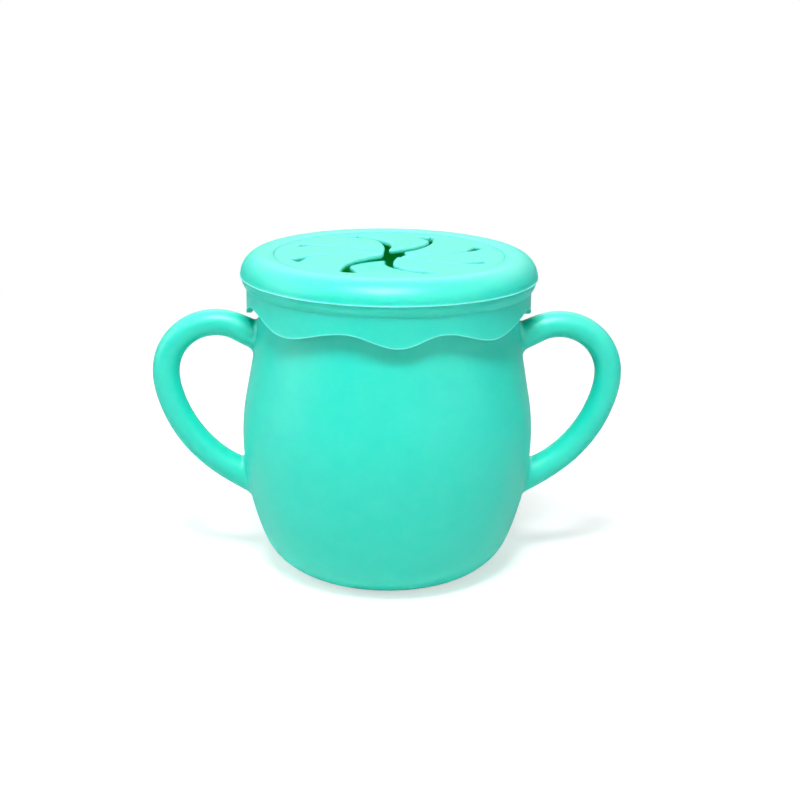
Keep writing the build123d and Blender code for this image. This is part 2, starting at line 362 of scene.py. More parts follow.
class Handle:
    """The +X handle's bar, and the skin that joins it to the bowl's side."""

    root_length = 0.011  # along which the bar flares
    search_range = (-0.008, 0.012)  # along the bar, round its entry, for where its skin meets the bowl
    search_steps = 40
    spread_shares = (0.35, 0.7, 1.0)  # of the way from the hole's rim to the fillet's foot
    fillet_rings = 7
    fillet_pull = 0.6
    ring_step = 0.0011

    def __init__(self, bowl):
        self.bowl = bowl
        side = np.array(bowl_side(bowl, 0, 0, bowl.rim_height - bowl.bead_height, 0.00005))
        self.side_r, self.side_z = side.T
        self.side_run = np.concatenate([[0], np.cumsum(np.hypot(*np.diff(side, axis=0).T))])
        self.line = bar_line(bowl)
        run, xs, zs, _ = self.line
        outside = np.nonzero(xs > np.interp(zs, self.side_z, self.side_r))[0]
        self.ends = [run[n] for n in (outside[0], outside[-1])]
        self.heights = [zs[n] for n in (outside[0], outside[-1])]

    def run_at(self, height):
        """Distance along the bowl's profile at a height."""
        return np.interp(height, self.side_z, self.side_run)

    def on_bowl(self, turned, distance):
        """Point on the bowl at an angle and a distance along its profile."""
        r, z = (np.interp(distance, self.side_run, v) for v in (self.side_r, self.side_z))
        return swing(r, z, turned)

    def on_bar(self, distance, angle):
        """Point on the bar's skin, with the directions out from and along the bar."""
        run, xs, zs, headings = self.line
        x, z, heading = (np.interp(distance, run, v) for v in (xs, zs, headings))
        along = Vector((cos(heading), 0, sin(heading)))
        up = Vector((-sin(heading), 0, cos(heading)))
        out = up * sin(angle) + Vector((0, cos(angle), 0))
        into_bowl = max(self.ends[0] - distance, distance - self.ends[1])
        ease = min(1.0, max(0.0, 1 + into_bowl / self.root_length))
        swell = self.bowl.bar_swell * np.interp(distance, self.ends, (-0.8, 0.8))
        radius = self.bowl.bar_radius + swell + self.bowl.root_flare * ease**2 * (3 - 2 * ease)
        return Vector((x, 0, z)) + out * radius, out, along

    def meeting(self, end, way, angle):
        """Distance along the bar where one line of its skin meets the bowl, found by halving."""
        low, high = (self.ends[end] + way * distance for distance in self.search_range)
        for _ in range(self.search_steps):
            middle = (low + high) / 2
            x, y, z = self.on_bar(middle, angle)[0]
            if hypot(x, y) < np.interp(z, self.side_z, self.side_r):
                low = middle
            else:
                high = middle
        return low

    def root(self, bm, ring, places, end):
        """Soft fillet from a hole's rim out to the bar. Gives its last ring and distances."""
        way = (1, -1)[end]
        fillet = self.bowl.root_fillet
        pull = fillet * self.fillet_pull
        feet, curves, distances = [], [], []
        for k in range(len(ring)):
            angle = 2 * pi * k / len(ring)
            meeting = self.meeting(end, way, angle)
            hit, out, _ = self.on_bar(meeting, angle)
            turned, run = atan2(hit.y, hit.x), self.run_at(hit.z)
            up = (self.on_bowl(turned, run + 1e-4) - self.on_bowl(turned, run - 1e-4)).normalized()
            side = Vector((-sin(turned), cos(turned), 0))
            flat = (up * out.dot(up) + side * out.dot(side)).normalized()
            near = hit + flat * fillet
            feet.append((atan2(near.y, near.x), self.run_at(near.z)))
            foot = self.on_bowl(*feet[-1])
            distances.append(meeting + way * fillet)
            last, _, along = self.on_bar(distances[-1], angle)
            curves.append((foot, foot - flat * pull, last - along * way * pull, last))
        ring = add_rings(bm, ring, (
            [self.on_bowl(a + (b - a) * f, s + (t - s) * f) for (a, s), (b, t) in zip(places, feet)]
            for f in self.spread_shares
        ))
        ring = add_rings(bm, ring, (
            [a * (1 - f) ** 3 + b * 3 * f * (1 - f) ** 2 + c * 3 * f**2 * (1 - f) + d * f**3
             for a, b, c, d in curves]
            for f in (n / self.fillet_rings for n in range(1, self.fillet_rings + 1))
        ))
        return ring, distances

    def bar(self, bm, upper_root, lower_root):
        """The bar between its two roots."""
        (ring, starts), (last_ring, finishes) = upper_root, lower_root
        steps = ceil((finishes[0] - starts[0]) / self.ring_step)
        count = len(ring)
        ring = add_rings(bm, ring, (
            [self.on_bar(a * (1 - f) + b * f, 2 * pi * k / count)[0]
             for k, (a, b) in enumerate(zip(starts, finishes))]
            for f in (n / steps for n in range(1, steps))
        ))
        stitch(bm, ring, last_ring)


class TRAININGCUP_OT_cup(bpy.types.Operator):
    """Build the bowl and both handles as one moulding"""

    bl_idname = "training_cup.cup"
    bl_label = "Cup and Handles"

    columns = 120  # in half a turn
    row_step = 0.0011
    inner_step = 0.0018
    floor_step = 0.003
    round_step = 0.0003
    recess_roof = 0.0006  # rounding between the recess and its wall
    recess_edge = 0.00015  # rounding between that wall and the base
    hole_sizes = ((9, 9), (10, 8))  # rows and columns from the middle of each root's hole to its rim

    def profile(self, bowl):
        """Profile from the middle of the base to the rim, and on to the middle of the floor."""
        bead_low = bowl.rim_height - bowl.bead_height
        soft = bowl.rim_round
        rim_z = bowl.rim_height - soft
        side = bowl_side(bowl, 0, 0, bead_low - bowl.bead_stand / 2, self.row_step)
        inner = bowl_side(bowl, bowl.wall, bowl.floor, rim_z, self.inner_step)
        bead_r = bowl.neck_radius + bowl.bead_stand - soft
        bead_z = bead_low + bowl.bead_stand / 2 + soft * 0.42
        bead = chain(
            arc((bead_r, bead_z), soft, -45, 0, self.row_step),
            arc((bead_r, rim_z), soft, 0, 90, self.round_step),
            arc((bowl.neck_radius - bowl.wall + soft, rim_z), soft, 90, 180, self.round_step),
        )
        depth, roof, edge = bowl.recess_depth, self.recess_roof, self.recess_edge
        roof_r = bowl.recess_radius - roof
        edge_r = bowl.recess_radius + edge
        base = chain(
            line((0, depth), (roof_r, depth), self.floor_step),
            arc((roof_r, depth - roof), roof, 90, 0, 0.0002),
            arc((edge_r, edge), edge, 180, 270, 0.0001),
            line((edge_r, 0), side[0], 0.0015),
        )
        floor = line(inner[0], (0, bowl.floor), self.floor_step)
        return base, side, chain(base, side, bead), chain(inner[::-1], floor)

    def execute(self, context):
        cup = context.scene.training_cup
        base, side, outer, inner = self.profile(cup.bowl)
        first = len(base) - 1
        handle = Handle(cup.bowl)
        bm = bmesh.new()
        layer = bm.verts.layers.float.new("inside")
        half = self.columns // 2
        turns = np.radians(np.linspace(-90, 90, self.columns + 1))
        grid = []
        for r, z in chain(outer, inner):
            around = turns if r > 1e-7 else turns[:1]
            grid.append(ring_of(bm, [swing(r, z, angle) for angle in around]))
        # Marks the bowl's inside, where the silicone gets a painted glow
        for v in (v for row in grid[len(outer) + 2:] for v in row):
            v[layer] = 1.0
        holes = []
        for height, (along, across) in zip(handle.heights, self.hole_sizes):
            middle = first + int(np.argmin([abs(z - height) for r, z in side]))
            holes.append((middle, along, across))
        for j, (lower, upper) in enumerate(zip(grid, grid[1:])):
            if len(lower) == 1 or len(upper) == 1:
                stitch(bm, lower, upper, closed=False)
                continue
            for i in range(self.columns):
                if not any(abs(j + 0.5 - m) < a and abs(i + 0.5 - half) < c for m, a, c in holes):
                    bm.faces.new([lower[i], lower[i + 1], upper[i + 1], upper[i]])
        roots = []
        for end, hole in enumerate(holes):
            rim = self.hole_rim(*hole, half, (1, -1)[end])
            places = [(turns[i], handle.run_at(side[j - first][1])) for j, i in rim]
            roots.append(handle.root(bm, [grid[j][i] for j, i in rim], places, end))
        handle.bar(bm, *roots)
        for v in bm.verts:
            if abs(v.co.x) < 1e-9:
                v.co.x = 0.0
        geometry = bm.verts[:] + bm.edges[:] + bm.faces[:]
        bmesh.ops.mirror(bm, geom=geometry, matrix=Matrix.Identity(4), merge_dist=1e-6, axis="X")
        piece = make_piece("cup_shell", bm, silicone("cup_silicone", cup.silicone))
        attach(piece, "cup")
        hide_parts("cup_body", "left_handle", "right_handle")
        return {"FINISHED"}

    @staticmethod
    def hole_rim(middle, along, across, half, way):
        """Grid places round a hole, from the +Y side, turning the way the bar's skin does."""
        far = ((0, 1), (1, 1), (1, -1), (-1, -1), (-1, 1), (0, 1))
        corners = [(middle + way * along * a, half + across * b) for a, b in far]
        rim = []
        for (a, b), (c, d) in zip(corners, corners[1:]):
            count = max(abs(c - a), abs(d - b))
            rim += [(a + (c - a) * n // count, b + (d - b) * n // count) for n in range(count)]
        return rim


# Turning points of the wavy hem, in degrees from -Y towards +X
LOBES = (2.5, 43.5, 94.0, 138.0, 182.0, 226.0, 267.0, 314.5)
NOTCHES = (20.0, 160.0, 204.0, 342.0)
SIDE_NOTCHES = (71.5, 116.0, 247.0, 289.0)


def hem_depth(lid, angle):
    """How far below the parting edge the hem hangs, at an angle from -Y towards +X."""
    turns = [(a, lid.hem_height + lid.drip_length) for a in LOBES]
    turns += [(a, lid.hem_height) for a in NOTCHES]
    turns += [(a, lid.hem_height - lid.side_notch_rise) for a in SIDE_NOTCHES]
    turns.sort()
    turns = [(turns[-1][0] - 360, turns[-1][1])] + turns + [(turns[0][0] + 360, turns[0][1])]
    angle %= 360
    n = next(i for i in range(1, len(turns)) if angle <= turns[i][0])
    (a, depth), (b, following) = turns[n - 1], turns[n]
    return depth + (following - depth) * (1 - cos(pi * (angle - a) / (b - a))) / 2


class TRAININGCUP_OT_lid(bpy.types.Operator):
    """Build the lid's ring, skirt and sealing lip as one moulding"""

    bl_idname = "training_cup.lid"
    bl_label = "Lid Ring and Skirt"

    segments = 288
    groove_spread = 2.2  # width of the groove's bank against its depth
    flash_reach = 1.4  # height of the parting edge's rounding, against its radius
    band_overlap = 1.4  # where the skirt starts, against the band's height
    skirt_rows = 24
    inner_rows = 12
    channel_round = 0.0006
    lip_round = 0.0005
    foot_round = 0.0004
    lip_lead = 0.0007  # bevel that guides the lip into the mouth

    def dome(self, lid):
        """Profile from the disc's groove over the crest to the parting edge."""
        top = (lid.dome_radius - lid.dome_round, lid.crest_height)
        run = top[0] - lid.disc_radius
        drop = lid.crest_height - lid.disc_height
        slope_r = (run**2 + drop**2) / (2 * drop)
        slope_turn = degrees(asin(run / slope_r))
        soft = lid.groove_depth

        def bank(r):
            return soft * max(0, 1 - (r - lid.disc_radius) / (self.groove_spread * soft)) ** 2

        near = [lid.disc_radius + n * soft / 3 for n in range(7)]
        slope_z = top[1] - slope_r
        slope = [(r, slope_z + sqrt(slope_r**2 - (top[0] - r) ** 2) - bank(r)) for r in near]
        for r, z in arc((top[0], slope_z), slope_r, 90 + slope_turn, 90, 0.0007):
            if r > near[-1] + 0.0002:
                slope.append((r, z - bank(r)))
        round_c = (top[0], lid.crest_height - lid.dome_round)
        end_z = lid.parting_height + self.flash_reach * lid.flash_round
        end = degrees(asin((end_z - round_c[1]) / lid.dome_round))
        return chain(slope, arc(round_c, lid.dome_round, 90, end, 0.0006))

    def band(self, lid):
        """Profile of the rounded band from under the parting edge down to the skirt."""
        top = Vector((lid.dome_radius - lid.parting_step, lid.parting_height))
        low = Vector((lid.skirt_radius, lid.parting_height - lid.band_height))
        chord = (low - top).length
        radius = (chord**2 / 4 + lid.band_bulge**2) / (2 * lid.band_bulge)
        out = Vector((top.y - low.y, low.x - top.x)) / chord
        centre = (top + low) / 2 - out * (radius - lid.band_bulge)
        start, end = (degrees(atan2(p.y - centre.y, p.x - centre.x)) for p in (top, low))
        limit = lid.parting_height - self.flash_reach * lid.flash_round
        return [p for p in arc(centre, radius, start, end, 0.0003) if p[1] < limit]

    def section(self, lid, depth):
        """The lid's closed section at one angle, whose hem hangs to a depth, and the places on its
        parting edge and hem that get a painted highlight.
        """
        dome, band = self.dome(lid), self.band(lid)
        parting, ceiling = lid.parting_height, lid.ceiling_height
        reach = lid.dome_radius + lid.flash_stand - lid.flash_round
        flash = arc((reach, parting), lid.flash_round, 80, -80, 0.00008)
        inside = lid.skirt_radius - lid.skirt_wall
        soft = lid.hem_round
        edge = parting - depth + soft
        low = parting - self.band_overlap * lid.band_height
        down = line(band[-1], (lid.skirt_radius, low), 0.0004)
        for part in np.linspace(0, 1, self.skirt_rows + 1)[1:]:
            down.append((lid.skirt_radius + lid.hem_bead * part**10, low + (edge - low) * part))
        hem = chain(
            arc((lid.skirt_radius + lid.hem_bead - soft, edge), soft, 0, -90, 0.0001),
            arc((inside + soft, edge), soft, -90, -180, 0.0002),
        )
        corner = ceiling - self.channel_round
        up = [(inside, edge + (corner - edge) * part) for part in np.linspace(0, 1, self.inner_rows)]
        lip_r, foot = lid.lip_radius, lid.lip_bottom
        arc_r, arc_z = lip_r + self.lip_round, ceiling - self.lip_round
        bevel = [(lip_r, foot + self.lip_lead), (lip_r - self.lip_lead, foot)]
        foot_z = foot + self.foot_round
        channel = chain(
            arc((inside - self.channel_round, corner), self.channel_round, 0, 90, 0.0003),
            line((inside - self.channel_round, ceiling), (arc_r, ceiling), 0.0015),
            arc((arc_r, arc_z), self.lip_round, 90, 180, 0.0003),
        )
        lip = chain(
            line((lip_r, arc_z), bevel[0], 0.0015),
            line(*bevel, 0.0004),
            arc((lid.disc_radius + self.foot_round, foot_z), self.foot_round, 270, 180, 0.0003),
            line((lid.disc_radius, foot_z), (lid.disc_radius, dome[0][1]), 0.0015),
        )
        outer = chain(dome, flash, band, down)
        # Parting edge and the hem's outer corner, which get a painted highlight
        highlit = [*range(len(dome), len(dome) + len(flash)), *range(len(outer) - 1, len(outer) + 3)]
        return chain(outer, hem, up, channel, lip[:-1]), highlit

    def execute(self, context):
        cup = context.scene.training_cup
        bm = bmesh.new()
        # Painted highlight on the parting edge and the hem, kept as a vertex attribute
        layer = bm.verts.layers.float.new("thin_edge")
        columns = []
        for i in range(self.segments):
            angle = 360 * i / self.segments
            around = radians(angle)
            section, highlit = self.section(cup.lid, hem_depth(cup.lid, angle + 90))
            column = ring_of(bm, [swing(r, z, around) for r, z in section])
            for n in highlit:
                column[n][layer] = 1.0
            columns.append(column)
        for column, following in zip(columns, columns[1:] + columns[:1]):
            stitch(bm, column, following)
        piece = make_piece("lid_shell", bm, silicone("lid_silicone", cup.silicone))
        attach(piece, "lid")
        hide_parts("lid_dome", "lid_skirt", "lid_seal_lip", "lid_membrane")
        return {"FINISHED"}


def polygon_gap(points, corners):
    """Signed distance from points to a polygon, below nought inside it."""
    nearest = np.full(len(points), 1e9)
    inside = np.zeros(len(points), bool)
    for a, b in zip(corners, np.roll(corners, -1, axis=0)):
        edge = b - a
        f = np.clip(((points - a) @ edge) / (edge @ edge), 0, 1)
        nearest = np.minimum(nearest, np.hypot(*(points - a - f[:, None] * edge).T))
        crosses = (a[1] > points[:, 1]) != (b[1] > points[:, 1])
        rise = edge[1] if abs(edge[1]) > 1e-12 else 1e-12
        inside ^= crosses & (points[:, 0] < a[0] + (points[:, 1] - a[1]) * edge[0] / rise)
    return np.where(inside, -nearest, nearest)


def soft_least(a, b, soft):
    """The smaller of two distances, with a rounded change from one to the other."""
    h = np.maximum(soft - np.abs(a - b), 0) / soft
    return np.minimum(a, b) - h * h * soft / 4


# The slits are numbered round from the first one at the rear right, and petal k
# lies between slits k and k + 1. Some tips are shorter, in millimetres from the centre
SHORT_TIPS = {0: 1.0, 4: 1.5, 5: 4.2, 6: 4.8, 7: 4.8}
# Where a petal's first or second edge stands back from its slit: gap at the centre, distance
# at which it closes and how roundly, in millimetres. A gap below nought covers the slit
OPEN_EDGES = {
    (0, 1): (-0.9, 14.0, 1), (1, 0): (2.1, 20.0, 2), (3, 1): (-0.05, 29.0, 8),
    (4, 0): (-0.10, 29.0, 8), (4, 1): (0.3, 15.5, 1), (5, 0): (4.0, 15.5, 1),
}
# Relief openings: distance where each starts, its radius at the slit's end and at its own end
RELIEFS = {0: (22.5, 0.6, 0.5), 3: (24.5, 0.25, 0.4), 4: (19.0, 0.8, 0.5), 7: (23.6, 0.25, 0.35)}


class Blade:
    """Flat outline of petal k in millimetres, turned back to lie between slit 0 and slit 1."""

    pitch = 0.55  # of the sheet's triangles
    seam = (0.6, 1.2)  # from where, before the slits' ends, and over what distance they close
    corner_soft = 0.9
    relief_soft = 0.6
    margin = 1.2  # of spare sheet round the outline
    edge_shares = (0.13, 0.42, 1.0)  # rows of vertices along the cut edges
    rim_rows = (0.12, 0.45, 1.0)  # and along the disc's rim
    rim_overlap = 0.02
    merge_gap = 0.03
    relief_sides = 48
    # Painted highlight along the cut edges: its strength at an edge, and how much of it a millimetre
    # takes away
    thin_tone = (0.6, 1.2)  # paler tone at a cut edge, and how much of it a millimetre takes away

    def __init__(self, petal, disc_radius, k):
        self.petal = petal
        self.disc = disc_radius / MM
        self.tip = SHORT_TIPS.get(k, petal.tip_cut / MM)
        self.openings = [OPEN_EDGES.get((k, edge), (0.0, 1.0, 1)) for edge in (0, 1)]
        self.radius = petal.slit_radius / MM
        self.reach = petal.slit_reach / MM
        self.half_gap = petal.slit_gap / MM / 2
        self.reliefs = [self.relief(0, k), self.relief(1, (k + 1) % 8)]

    def slit_place(self, k, reach, beyond=0.0):
        """Place on slit k at a distance from the centre, turned on by an angle."""
        heading = self.petal.slit_heading + radians(45 * k)
        angle = heading + asin(reach / 2 / self.radius) + beyond
        return reach * cos(angle), reach * sin(angle)

    def relief(self, edge, slit):
        """Outline of the rounded opening at the outer end of a slit."""
        start, near, far = RELIEFS.get(slit, (self.petal.relief_start / MM, 0.22, 0.28))
        rounds = (
            (self.slit_place(edge, start), self.half_gap),
            (self.slit_place(edge, self.reach), near),
            (self.slit_place(edge, self.reach, self.petal.relief_turn), far),
        )
        angles = np.linspace(0, 2 * pi, self.relief_sides, endpoint=False)
        points = [swing(r, 0, angle).xy + Vector(place) for place, r in rounds for angle in angles]
        return np.array([points[i] for i in convex_hull_2d(points)])

    def gap(self, points, for_edge=False):
        """Distance of points inside the blade from its nearest cut edge.

        Past the slits the blade meets its neighbours without a gap, and for the
        rounding of its edges those seams don't count."""
        reach = np.hypot(*points.T)
        fade = np.clip((reach - self.reach + self.seam[0]) / self.seam[1], 0, 1)
        least = reach - self.tip
        for k, (opening, closed, power) in enumerate(self.openings):
            angle = self.petal.slit_heading + radians(45 * k + 90)
            centre = self.radius * np.array([cos(angle), sin(angle)])
            side = self.radius - np.hypot(*(points - centre).T)
            side = side if k == 0 else -side
            side = side - self.half_gap * (1 - fade)
            side = side - opening * np.clip(1 - (reach / closed) ** power, 0, 1)
            if for_edge:
                side = side + 3 * fade + 3 * np.maximum(reach - self.reach, 0)
            least = soft_least(least, side, self.corner_soft)
        for relief in self.reliefs:
            least = soft_least(least, polygon_gap(points, relief), self.relief_soft)
        return least

    def rim_gap(self, points):
        """Distance of points inside the disc from its rim."""
        return self.disc - np.hypot(*points.T)

    def sheet(self):
        """Fine triangle sheet of the blade, with its distance to the cut edges on each vertex."""
        rise = self.pitch * sqrt(3) / 2
        rows = int(2 * self.disc / rise) + 2
        width = int(2 * self.disc / self.pitch)
        flat = np.array([
            ((i + (j % 2) / 2) * self.pitch - self.disc, j * rise - self.disc * 0.35)
            for j in range(rows) for i in range(width)
        ])
        bm = bmesh.new()
        kept = (self.gap(flat) > -self.margin) & (self.rim_gap(flat) > -self.margin)
        verts = {i: bm.verts.new((*flat[i], 0)) for i in np.nonzero(kept)[0]}
        for j in range(rows - 1):
            for a in range(j * width, (j + 1) * width - 1):
                b, c, d = a + 1, a + width, a + width + 1
                for corners in ((a, b, c), (b, d, c)) if j % 2 == 0 else ((a, b, d), (a, d, c)):
                    if all(n in verts for n in corners):
                        bm.faces.new([verts[n] for n in corners])
        self.cut(bm, self.gap, [0.0], True)
        self.cut(bm, lambda p: self.rim_gap(p) + self.rim_overlap, [0.0], True)
        self.cut(bm, self.rim_gap, self.rim_rows, False)
        rounds = [self.petal.edge_round / MM * part for part in self.edge_shares]
        self.cut(bm, lambda p: self.gap(p, for_edge=True), rounds, False)
        for v in bm.verts:
            v.co.z = 0
        bmesh.ops.remove_doubles(bm, verts=bm.verts, dist=self.merge_gap)
        bmesh.ops.triangulate(bm, faces=bm.faces)
        points = np.array([v.co.xy for v in bm.verts])
        # The third attribute is a painted highlight along the cut edges, gone within half a millimetre
        # of them
        names = ("edge_gap", "rim_gap", "thin_edge")
        layers = [bm.verts.layers.float.new(name) for name in names]
        for v, near, rim in zip(bm.verts, self.gap(points, for_edge=True), self.rim_gap(points)):
            values = (near * MM, rim * MM, self.thin_tone[0] - self.thin_tone[1] * abs(near))
            for layer, value in zip(layers, values):
                v[layer] = max(0.0, value)
            v.co *= MM
        bmesh.ops.recalc_face_normals(bm, faces=bm.faces)
        if sum(f.normal.z for f in bm.faces) < 0:
            bmesh.ops.reverse_faces(bm, faces=bm.faces)
        mesh = bpy.data.meshes.new("blade_sheet")
        bm.to_mesh(mesh)
        bm.free()
        return mesh

    @staticmethod
    def cut(bm, distance, levels, trim):
        """Cut the sheet along lines of equal distance, and trim what lies below them."""
        points = np.array([v.co.xy for v in bm.verts])
        for v, height in zip(bm.verts, distance(points)):
            v.co.z = height
        for level in levels:
            parts = bm.verts[:] + bm.edges[:] + bm.faces[:]
            bmesh.ops.bisect_plane(
                bm, geom=parts, dist=1e-5, plane_co=(0, 0, level), plane_no=(0, 0, 1), clear_inner=trim
            )
            bmesh.ops.triangulate(bm, faces=[f for f in bm.faces if len(f.verts) > 3])


def feed(fed, inputs):
    """Link or set some inputs of a node."""
    for key, value in inputs.items():
        if isinstance(value, bpy.types.NodeSocket):
            fed.id_data.links.new(value, fed.inputs[key])
        else:
            fed.inputs[key].default_value = value


def node(tree, kind, inputs=None, output=0, **settings):
    """An output of a new node with its settings and inputs. Without a family it's a shader node."""
    made = tree.nodes.new(kind if kind.startswith("GeometryNode") else "ShaderNode" + kind)
    for key, value in settings.items():
        setattr(made, key, value)
    feed(made, inputs or {})
    return made.outputs[output]


def maths(tree, operation, *values):
    """Result of a maths node."""
    return node(tree, "Math", dict(enumerate(values)), operation=operation)


def petal_tree():
    """Geometry nodes that turn a flat blade sheet into one thick, bent petal in its place."""
    tree = bpy.data.node_groups.new("petal_from_sheet", "GeometryNodeTree")
    tree.is_modifier = True
    sizes = ("Thickness", "Edge Round", "Groove Depth", "Root Distance", "Root Heading",
             "Bend Before", "Bend After", "Tilt", "Turn", "Top Height")
    faces = [("Geometry", "INPUT", "Geometry")] + [(name, "INPUT", "Float") for name in sizes]
    faces += [("Skin", "INPUT", "Material"), ("Geometry", "OUTPUT", "Geometry")]
    for name, way, kind in faces:
        tree.interface.new_socket(name, in_out=way, socket_type="NodeSocket" + kind)
    given = tree.nodes.new("NodeGroupInput").outputs

    def minus(a, b):
        return maths(tree, "SUBTRACT", a, b)

    def times(first, *others):
        for other in others:
            first = maths(tree, "MULTIPLY", first, other)
        return first

    def at_least_nought(a):
        return maths(tree, "MAXIMUM", a, 0.0)

    def vector(*values):
        return node(tree, "CombineXYZ", dict(enumerate(values)))

    thick, soft, depth = given["Thickness"], given["Edge Round"], given["Groove Depth"]
    sheet = given["Geometry"]
    raised = node(tree, "GeometryNodeExtrudeMesh", {
        "Mesh": sheet, "Offset": vector(0.0, 0.0, 1.0), "Offset Scale": thick, "Individual": False,
    }, mode="FACES")
    under = node(tree, "GeometryNodeFlipFaces", {"Mesh": sheet})
    joined = node(tree, "GeometryNodeJoinGeometry", {0: raised})
    feed(joined.node, {0: under})
    solid = node(tree, "GeometryNodeMergeByDistance", {"Geometry": joined, "Distance": 1e-6})

    # Rounding of the cut edges, and half of the groove round the disc
    edge, rim = (
        node(tree, "GeometryNodeInputNamedAttribute", {"Name": name}, data_type="FLOAT")
        for name in ("edge_gap", "rim_gap")
    )
    place = node(tree, "GeometryNodeInputPosition")
    height = node(tree, "SeparateXYZ", {0: place}, "Z")
    above = maths(tree, "GREATER_THAN", height, times(thick, 0.5))
    into = at_least_nought(minus(soft, edge))
    chord = maths(tree, "SQRT", at_least_nought(minus(times(soft, soft), times(into, into))))
    way = minus(times(above, 2.0), 1.0)
    groove_width = times(depth, TRAININGCUP_OT_lid.groove_spread)
    bank = at_least_nought(minus(1.0, maths(tree, "DIVIDE", rim, groove_width)))
    fall = minus(times(minus(chord, soft), way), times(bank, bank, depth, above))
    shaped = node(tree, "GeometryNodeSetPosition", {
        "Geometry": solid, "Offset": vector(0.0, 0.0, minus(fall, thick)),
    })

    # Bend at the root line, then the turn into place
    heading, root, before = given["Root Heading"], given["Root Distance"], given["Bend Before"]
    out_x, out_y = maths(tree, "COSINE", heading), maths(tree, "SINE", heading)
    hinge = vector(times(out_x, root), times(out_y, root), times(thick, -0.5))
    outward = node(tree, "VectorMath", {0: place, 1: vector(out_x, out_y, 0.0)}, "Value",
                   operation="DOT_PRODUCT")
    past = minus(maths(tree, "ADD", root, before), outward)
    span = maths(tree, "ADD", before, given["Bend After"])
    ramp = node(tree, "MapRange", {"Value": maths(tree, "DIVIDE", past, span)},
                interpolation_type="SMOOTHSTEP")
    bent = node(tree, "VectorRotate", {
        "Vector": place, "Center": hinge, "Axis": vector(times(out_y, -1.0), out_x, 0.0),
        "Angle": times(given["Tilt"], ramp, -1.0),
    }, rotation_type="AXIS_ANGLE")
    tilted = node(tree, "GeometryNodeSetPosition", {"Geometry": shaped, "Position": bent})
    placed = node(tree, "GeometryNodeTransform", {
        "Geometry": tilted, "Translation": vector(0.0, 0.0, given["Top Height"]),
        "Rotation": vector(0.0, 0.0, given["Turn"]),
    })
    painted = node(tree, "GeometryNodeSetMaterial", {"Geometry": placed, "Material": given["Skin"]})
    feed(tree.nodes.new("NodeGroupOutput"), {0: painted})
    return tree


class TRAININGCUP_OT_petals(bpy.types.Operator):
    """Build the eight soft petals of the lid's disc"""

    bl_idname = "training_cup.petals"
    bl_label = "Petals"

    front = 4  # the slit on whose far side petal_1 lies
    sharp_angle = 50

    def execute(self, context):
        cup = context.scene.training_cup
        petal, lid = cup.petal, cup.lid
        tree = petal_tree()
        faces = tree.interface.items_tree
        sockets = {face.name: face.identifier for face in faces if face.in_out == "INPUT"}
        skin = bpy.data.materials.get("lid_silicone") or silicone("lid_silicone", cup.silicone)
        hinges = {joint["child"]: joint for joint in frame["joints"]}
        for number, name in enumerate(PETALS):
            k = (self.front + number) % 8
            piece = add_object("soft_" + name, Blade(petal, lid.disc_radius, k).sheet())
            root = Vector(hinges[name]["pos_m"])
            flat_root = Vector((root.x, root.y, 0))
            axis = hinges[name]["axis"]
            outward = Vector((axis[1], -axis[0], 0)).normalized()
            if outward.dot(flat_root) < 0:
                outward.negate()
            turned = radians(45 * k)
            values = {
                "Thickness": petal.thickness, "Edge Round": petal.edge_round,
                "Groove Depth": lid.groove_depth, "Root Distance": outward.dot(flat_root),
                "Root Heading": atan2(outward.y, outward.x) - turned,
                "Bend Before": petal.bend_before, "Bend After": petal.bend_after,
                "Tilt": {0: petal.front_dip, 4: -petal.rear_lift}.get(number, 0.0),
                "Turn": turned, "Top Height": lid.disc_height, "Skin": skin,
            }
            nodes = piece.modifiers.new("petal", "NODES")
            nodes.node_group = tree
            for label, value in values.items():
                nodes[sockets[label]] = value
            graph = context.evaluated_depsgraph_get()
            solid = bpy.data.meshes.new_from_object(piece.evaluated_get(graph))
            piece.modifiers.clear()
            piece.data = solid
            smooth(solid)
            solid.set_sharp_from_angle(angle=radians(self.sharp_angle))
            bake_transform(piece)
            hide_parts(name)
        return {"FINISHED"}


